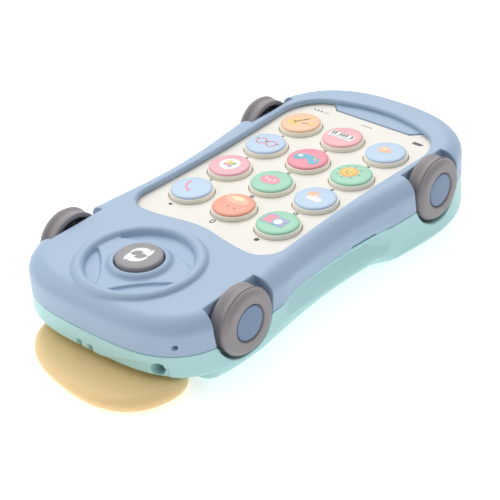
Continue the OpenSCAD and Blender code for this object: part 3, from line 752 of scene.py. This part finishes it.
def circle(x, y, radius_x, radius_y=None, count=28):
    """Outline of a circle or ellipse, anticlockwise."""
    a = np.linspace(0, 2 * np.pi, count, endpoint=False)
    return np.stack([x + radius_x * np.cos(a), y + (radius_y or radius_x) * np.sin(a)], 1)


def bar(x, y, width, height):
    """Outline of a rectangle about its middle, six points to a side."""
    t = np.linspace(-0.5, 0.5, 7)[:-1]
    edge = np.full(6, 0.5)
    return np.array([x, y]) + np.concatenate([
        np.stack([t, -edge], 1), np.stack([edge, t], 1), np.stack([-t, edge], 1),
        np.stack([-edge, -t], 1)]) * np.array([width, height])


def patch(outline, level, colour, lift=1.0):
    """Film of ink inside an outline: rings shrunk towards its middle, below and above the surface
    whose height is level(x, y)."""
    outline = np.asarray(outline, float)
    shrink = np.array([0.5, 1, 1, 0.66, 0.33])[:, None, None]
    plan = outline.mean(0) + (outline - outline.mean(0))[None] * shrink
    rise = np.array([-film_root, -film_root, film_t * lift, film_t * lift, film_t * lift])[:, None]
    verts, faces = closed_rows(np.dstack([plan, level(plan[..., 0], plan[..., 1]) + rise]))
    return verts, faces, colour


def line(points, widths, level, colour, lift=1.0):
    """Film of ink along a path: four corners at each point, half a width to its left and right."""
    points = np.asarray(points, float)
    along = np.gradient(points, axis=0)
    along /= np.maximum(np.linalg.norm(along, axis=1), 1e-9)[:, None]
    offset = np.stack([-along[:, 1], along[:, 0]], 1) * np.broadcast_to(widths, len(points))[:, None] / 2
    plan = np.stack([points + offset, points + offset, points - offset, points - offset], 1)
    rise = np.array([-film_root, film_t * lift, film_t * lift, -film_root])[None]
    verts, faces = closed_rows(np.dstack([plan, level(plan[..., 0], plan[..., 1]) + rise]))
    return verts, faces, colour


def ring_line(x, y, radius_x, radius_y, start=0, end=360, count=14):
    """Part of an ellipse as a path, angles in degrees."""
    a = np.radians(np.linspace(start, end, count))
    return np.stack([x + radius_x * np.cos(a), y + radius_y * np.sin(a)], 1)


def bend(x, y, radius, start, end, count=14):
    """Part of a circle as a path."""
    return ring_line(x, y, radius, radius, start, end, count)


def add_print(name, films, centre, body):
    """Joins films of ink made about a centre into one piece."""
    counts = np.cumsum([0] + [len(verts) for verts, faces, colour in films])
    verts = np.concatenate([verts for verts, faces, colour in films])
    faces = [[i + start for i in f] for start, film in zip(counts, films) for f in film[1]]
    inks = np.concatenate([np.tile(colour, (len(verts), 1)) for verts, faces, colour in films])
    add_piece(name, verts + np.array([centre[0], centre[1], 0]), faces, ink_film, body, inks=inks)


white, cream_ink, dark = tone(250, 250, 248), tone(252, 236, 190), tone(70, 68, 74)
yellow, orange, brown = tone(246, 214, 112), tone(247, 186, 92), tone(150, 110, 86)
rose, pink, lilac = tone(222, 120, 138), tone(244, 160, 176), tone(200, 170, 220)
sea, leaf, peach = tone(112, 190, 214), tone(150, 205, 120), tone(248, 200, 168)


def on_face(x, y):
    """Height of a key's domed face off its middle."""
    return dome(np.hypot(x, y))


def pictures():
    """Films of ink for each key, in millimetres off the key's middle."""
    f = on_face
    a = np.radians(np.arange(0, 360, 45))
    rays = [line([(-1.2 + 3.5 * c, 0.4 + 3.5 * s), (-1.2 + 4.3 * c, 0.4 + 4.3 * s)], 0.35, f, brown)
            for c, s in zip(np.cos(a), np.sin(a))]
    petals = [patch(circle(1.35 * c, 0.2 + 1.35 * s, 0.85), f, ink, 1.6) for c, s, ink in zip(
        np.cos(a[::2] + 0.6), np.sin(a[::2] + 0.6), (leaf, yellow, pink, lilac))]
    black_keys = [patch(bar(-4.3 + 1.1 * k, 0.75, 0.62, 1.7), f, dark, 1.6) for k in (0, 1, 3, 4, 5, 7)]
    seams = [patch(bar(-4.85 + 1.1 * k, -0.85, 0.16, 1.5), f, dark, 1.6) for k in range(1, 8)]
    handset = bend(1.6, 2.2, 4.4, 172, 262)
    ends = np.abs(np.linspace(-1, 1, 14))
    return {
        "key_1": [line([(-1.4, -0.8), (0.2, 1.6), (1.3, 3.4)], 0.6, f, brown, 1.3),
                  line([(1.0, 3.3), (1.7, 4.3)], 1.2, f, yellow),
                  patch(circle(-1.9, -1.3, 1.9, 1.7), f, yellow),
                  patch(circle(-0.9, 0.2, 1.3), f, yellow), patch(circle(-1.6, -0.9, 0.6), f, brown, 1.6),
                  line([(0.8, -0.6), (3.8, 0.3)], 0.4, f, brown),
                  patch(circle(4.1, 0.5, 0.8), f, yellow)],
        "key_2": [patch(bar(-0.45, 0, 9.6, 3.5), f, white)] + black_keys + seams
                 + [patch(circle(-1.2, 3.1, 0.3), f, rose)],
        "key_3": [patch(circle(-1.2, 0.6, 1.8, 2.1), f, peach), patch(circle(0.5, 0.2, 1.5, 1.3), f, peach),
                  patch(circle(-1.2, 1.1, 0.9), f, cream_ink, 1.5)],
        "key_4": [line(circle(x, 0.2, 1.75)[list(range(28)) + [0]], 0.42, f, rose) for x in (-2.1, 2.1)]
                 + [line(bend(0, 0.3, 0.5, 160, 20, 6), 0.35, f, dark, 1.5)]
                 + [line([(3.8 * s, 0.7), (4.7 * s, 1.3)], 0.35, f, dark) for s in (-1, 1)],
        "key_5": [line([(-3, -0.2), (0, 0.6), (3, -0.2)], 2.9, f, sea),
                  patch(circle(-3, -0.8, 1.8, 2.0), f, sea, 1.2),
                  patch(circle(3, -0.8, 1.8, 2.0), f, sea, 1.2),
                  patch(bar(-2.9, 0, 1.9, 0.6), f, white, 1.7),
                  patch(bar(-2.9, 0, 0.6, 1.9), f, white, 1.9),
                  patch(circle(2.6, 0.4, 0.45), f, yellow, 1.7),
                  patch(circle(3.5, -0.4, 0.45), f, pink, 1.7)],
        "key_6": [patch(circle(-1.2, 0.4, 3.1), f, orange), patch(circle(-1.4, 0.6, 2.2), f, yellow, 1.5),
                  patch(circle(-2.1, 0.8, 0.28), f, brown, 2),
                  patch(circle(-0.5, 0.8, 0.28), f, brown, 2),
                  line(bend(-1.3, 0.2, 0.8, 200, 340, 8), 0.3, f, brown, 2)] + rays,
        "key_7": [patch(circle(0, 0.2, 3.5), f, white)] + petals
                 + [patch(circle(0, 0.2, 0.6), f, orange, 2.2)],
        "key_8": [patch(circle(-0.6, 0, 3.6, 2.5), f, pink)]
                 + [patch(circle(-0.6 + x, y, 0.42), f, white, 1.6)
                    for x, y in ((-1.6, 0.3), (0, -0.3), (1.6, 0.3))],
        "key_9": [patch(circle(-1.6, 0.9, 1.9), f, peach), patch(circle(0.2, -0.9, 1.5), f, white, 1.4),
                  patch(circle(1.9, -1.2, 1.3), f, white, 1.4),
                  patch(circle(-1.3, -1.3, 1.1), f, white, 1.4)],
        "key_star": [line(handset, 0.75 + 0.9 * ends ** 5, f, pink)],
        "key_0": [patch(circle(-0.6, 2.5, 4.2, 2.4), f, peach),
                  patch(circle(-0.9, 3.2, 2.4, 1.1), f, cream_ink, 1.5),
                  patch(circle(-0.6, -2.0, 0.32), f, brown), patch(circle(2.0, -2.0, 0.32), f, brown)],
        "key_hash": [patch(bar(-1.1, 0, 8.4, 4.9), f, sea), patch(bar(-1.1, 0, 7.7, 4.2), f, pink, 1.5),
                     patch(bar(-3.3, 2.6, 2.2, 0.9), f, lilac), patch(bar(1.2, 0, 3.2, 4.2), f, lilac, 1.6),
                     patch(circle(0.3, -0.2, 1.95), f, sea, 2), patch(circle(0.3, -0.2, 1.5), f, white, 2.5)],
    }


for node, films in pictures().items():
    add_print(node + "_picture", films, middle(node), node + "_cap")


def on_panel(x, y):
    """The panel is flat."""
    return panel_top + 0 * x


# Strokes of each sign in a box 1 wide and 2 high about its middle
signs = {
    "key_1": [[(-0.3, 0.6), (0.1, 1), (0.1, -1)]],
    "key_2": [np.concatenate([ring_line(0, 0.45, 0.5, 0.55, 170, -30, 8), [(-0.5, -1), (0.5, -1)]])],
    "key_3": [ring_line(-0.05, 0.48, 0.5, 0.5, 150, -90, 9), ring_line(-0.05, -0.5, 0.55, 0.5, 90, -150, 9)],
    "key_4": [[(0.15, 1), (-0.5, -0.4), (0.5, -0.4)], [(0.2, 0.3), (0.2, -1)]],
    "key_5": [[(0.45, 1), (-0.4, 1), (-0.45, 0.1)], ring_line(-0.05, -0.4, 0.55, 0.6, 110, -150, 9)],
    "key_6": [ring_line(0, -0.4, 0.5, 0.6), [(0.35, 1), (-0.2, 0.5), (-0.5, -0.3)]],
    "key_7": [[(-0.5, 1), (0.5, 1), (-0.1, -1)]],
    "key_8": [ring_line(0, 0.5, 0.42, 0.48), ring_line(0, -0.5, 0.52, 0.52)],
    "key_9": [ring_line(0, 0.4, 0.5, 0.6), [(-0.35, -1), (0.2, -0.5), (0.5, 0.3)]],
    "key_star": [[(0.55 * c, 0.55 * s), (-0.55 * c, -0.55 * s)]
                 for c, s in ((1, 0), (0.5, 0.87), (-0.5, 0.87))],
    "key_0": [ring_line(0, 0, 0.5, 1)],
    "key_hash": [[(x - 0.1, -0.8), (x + 0.1, 0.8)] for x in (-0.25, 0.25)]
                + [[(-0.6, y), (0.6, y)] for y in (-0.3, 0.3)],
}
sign_size = np.array([1.3, 1.0])
sign_off = np.array([-0.8, -9.15])
marks = []
for node, strokes in signs.items():
    spot = middle(node)[:2] + sign_off
    for stroke in strokes:
        marks.append(line(np.asarray(stroke) * sign_size + spot, 0.42, on_panel, dark))
status_y = keypad_y + 40.4
marks += [patch(circle(x, status_y, 0.42), on_panel, dark) for x in (-22.3, -20.9, -19.5)]
marks += [patch(bar(-17.4, status_y, 2.2, 0.5), on_panel, tone(190, 188, 184)),
          patch(bar(0, status_y, 4.4, 0.5), on_panel, tone(176, 174, 172)),
          patch(bar(21.1, status_y, 3.4, 1.5), on_panel, dark),
          patch(bar(23.2, status_y, 0.5, 0.7), on_panel, dark)]
add_print("panel_marks", marks, (0, 0), "housing")

# ------------------------------------------------------------------------------ mode button
# Grey domed button in the hub of the steering wheel with a printed pair of white arrows
# chasing each other round.
button_r = 7.3
button_top = span("mode_button")[1][2]
button_profile = np.concatenate([
    [[2, panel_top - 1.5], [button_r, panel_top - 1.5]], arc(button_r - 0.8, button_top - 1.1, 0.8, 0, 75, 7),
    [[5.2, button_top - 0.26], [3.6, button_top - 0.14], [1.8, button_top - 0.08]]])
button_grey = moulded("button_grey", tone(152, 150, 153), cloud=0.06, roughness=0.4, grain=0.25)
verts, faces = lathe(button_profile, (0, hub_y))
add_piece("mode_cap", verts, faces, button_grey, "mode_button_cap", ["mode_button"])


def on_button(x, y):
    """Height of the button's crown off its middle, read along its profile."""
    crown = button_profile[:1:-1]
    return np.interp(np.hypot(x, y), crown[:, 0], crown[:, 1])


arrows = []
for turn in (0, 180):
    shaft = bend(0, 0, 2.9, 190 + turn, 70 + turn)
    head = bend(0, 0, 2.9, 70 + turn, 12 + turn, 8)
    arrows += [line(shaft, np.linspace(0.6, 2.5, 14), on_button, white),
               line(head, np.linspace(4.3, 0.05, 8), on_button, white, 1.3)]
add_print("mode_arrows", arrows, (0, hub_y), "mode_button_cap")

# --------------------------------------------------------------- finishes of the other pieces
# What shows little or nothing keeps its designed shape: panel, door, clamp, axles and screws,
# switch, cells, contacts, boards, rubber membrane, chip, lamps and loudspeaker.
slot_finishes = {
    "panel_ivory": dict(colour=tone(243, 240, 231), cloud=0.03, roughness=0.45, grain=0.15),
    "shell_mint": dict(colour=tone(184, 228, 229), cloud=0.05, roughness=0.44, grain=0.2),
    "steel": dict(colour=tone(176, 178, 182), cloud=0.15, roughness=0.32, grain=0.3, metallic=1.0),
    "switch_dark": dict(colour=tone(62, 64, 68), cloud=0.12, roughness=0.5, grain=0.5),
    "circuit_green": dict(colour=tone(38, 104, 68), cloud=0.2, roughness=0.35, grain=0.2),
    "membrane_grey": dict(colour=tone(214, 214, 208), cloud=0.1, roughness=0.65, grain=0.4),
    "speaker_dark": dict(colour=tone(48, 50, 54), cloud=0.2, roughness=0.7, grain=0.8),
    "cell_wrap": dict(colour=tone(54, 84, 120), cloud=0.15, roughness=0.3, grain=0.1),
    "contact_nickel": dict(colour=tone(196, 194, 186), cloud=0.15, roughness=0.28, grain=0.2, metallic=1.0),
    "chip_black": dict(colour=tone(24, 24, 26), cloud=0.25, roughness=0.55, grain=0.7),
    "lamp_white": dict(colour=tone(238, 238, 226), cloud=0.08, roughness=0.2, grain=0.1),
}
coats = {slot: moulded("coat_" + slot, **values) for slot, values in slot_finishes.items()}
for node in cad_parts.values():
    for holder in node.material_slots:
        name = holder.material.name.split(".")[0]
        if name in coats:
            holder.material = coats[name]
